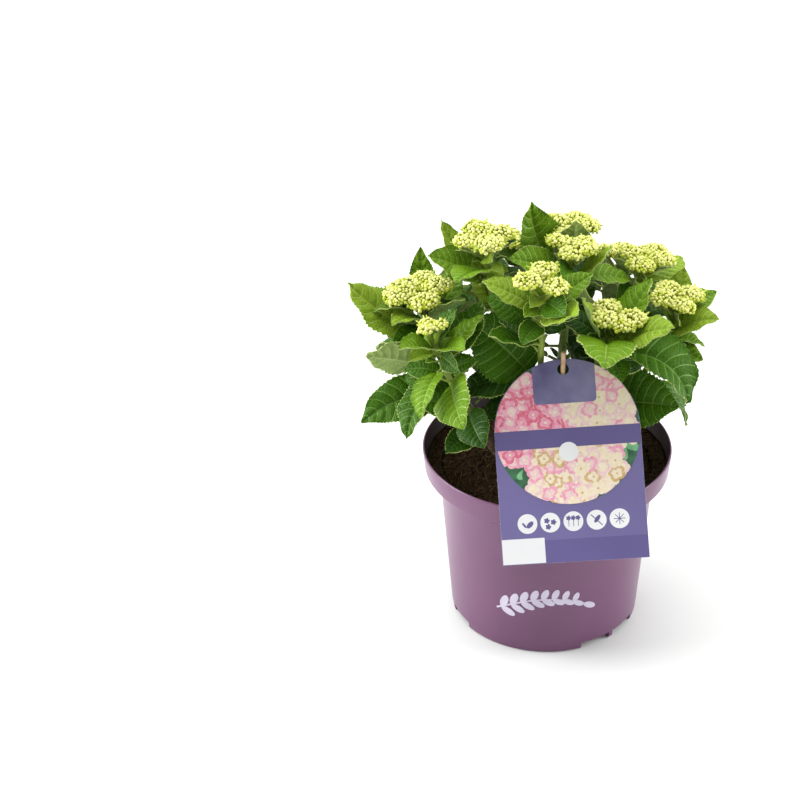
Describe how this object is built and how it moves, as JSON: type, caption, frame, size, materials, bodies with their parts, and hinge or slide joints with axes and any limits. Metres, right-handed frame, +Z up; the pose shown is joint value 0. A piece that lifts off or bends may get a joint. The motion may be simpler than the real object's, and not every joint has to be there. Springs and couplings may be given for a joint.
{
  "type": "hydrangea shrub in pot",
  "caption": "Young bigleaf hydrangea shrub in bud, with leafy shoots and flat bud heads, growing in a round lipped nursery pot with a picture card.",
  "frame": {"origin": "centre of the pot's flat underside, on the ground", "axes": "+Z up, +X to the viewer's right, +Y away from the viewer; the picture card leans on the pot's lip on the -Y side"},
  "size_m": [0.2675, 0.2542, 0.326],
  "materials": {
    "pot": "satin plum plastic",
    "peat": "loose dark peat",
    "card": "smooth printed plastic card",
    "stick": "plain thin wood",
    "wood": "rough brown bark",
    "foliage": "satin green leaves and cream buds"
  },
  "bodies": {
    "root": {"pot": "pot", "peat": "peat", "card": "card", "card_stick": "stick", "stem_centre": "wood", "foliage_centre": "foliage", "stem_low_right": "wood", "foliage_low_right": "foliage", "stem_low_left": "wood", "foliage_low_left": "foliage", "stem_left": "wood", "foliage_left": "foliage", "stem_upper_left": "wood", "foliage_upper_left": "foliage", "stem_upper": "wood", "foliage_upper": "foliage", "stem_top": "wood", "foliage_top": "foliage", "stem_upper_right": "wood", "foliage_upper_right": "foliage", "stem_right": "wood", "foliage_right": "foliage", "stem_back_left": "wood", "foliage_back_left": "foliage", "stem_back": "wood", "foliage_back": "foliage", "stem_back_right": "wood", "foliage_back_right": "foliage"}
  },
  "joints": []
}
